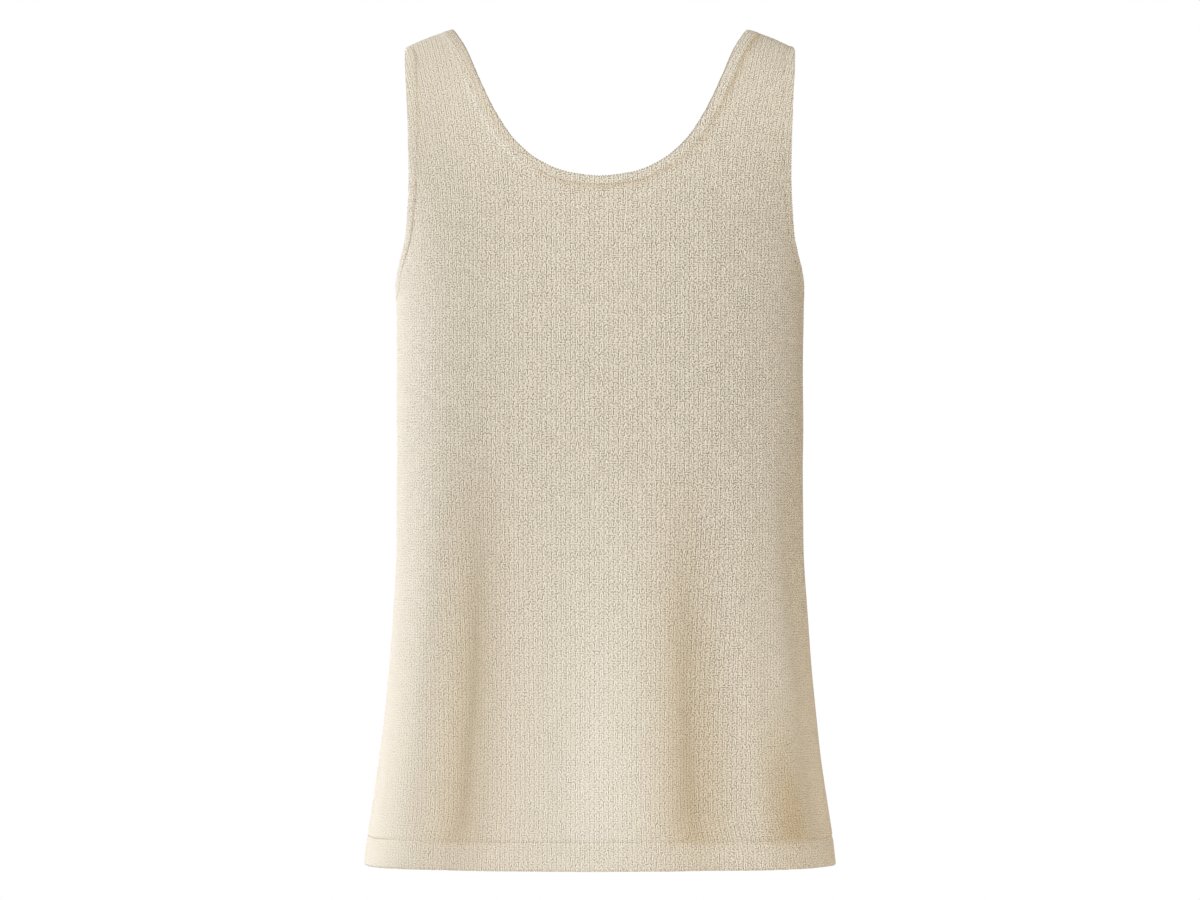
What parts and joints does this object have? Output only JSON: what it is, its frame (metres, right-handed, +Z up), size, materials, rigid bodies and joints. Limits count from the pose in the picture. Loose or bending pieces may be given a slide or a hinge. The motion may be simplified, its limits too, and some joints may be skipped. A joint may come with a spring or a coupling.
{
  "type": "knit top",
  "caption": "Sleeveless scoop-neck knit top in its worn, hollow form, with neck and armhole bands and a turned-up hem.",
  "frame": {"origin": "on the centre line, midway front to back, at the height of the shoulder seams' neck ends, where the wearer's shoulders carry the top", "axes": "+Z up; -Y out of the front; +X to the right as the front is looked at"},
  "size_m": [0.3293, 0.249, 0.5846],
  "materials": {
    "knit": "matte cream knit with fine uneven wales",
    "band_knit": "matte cream knit, doubled"
  },
  "bodies": {
    "root": {"front": "knit", "back": "knit", "neck_band": "band_knit", "armhole_band_right": "band_knit", "armhole_band_left": "band_knit"}
  },
  "joints": []
}
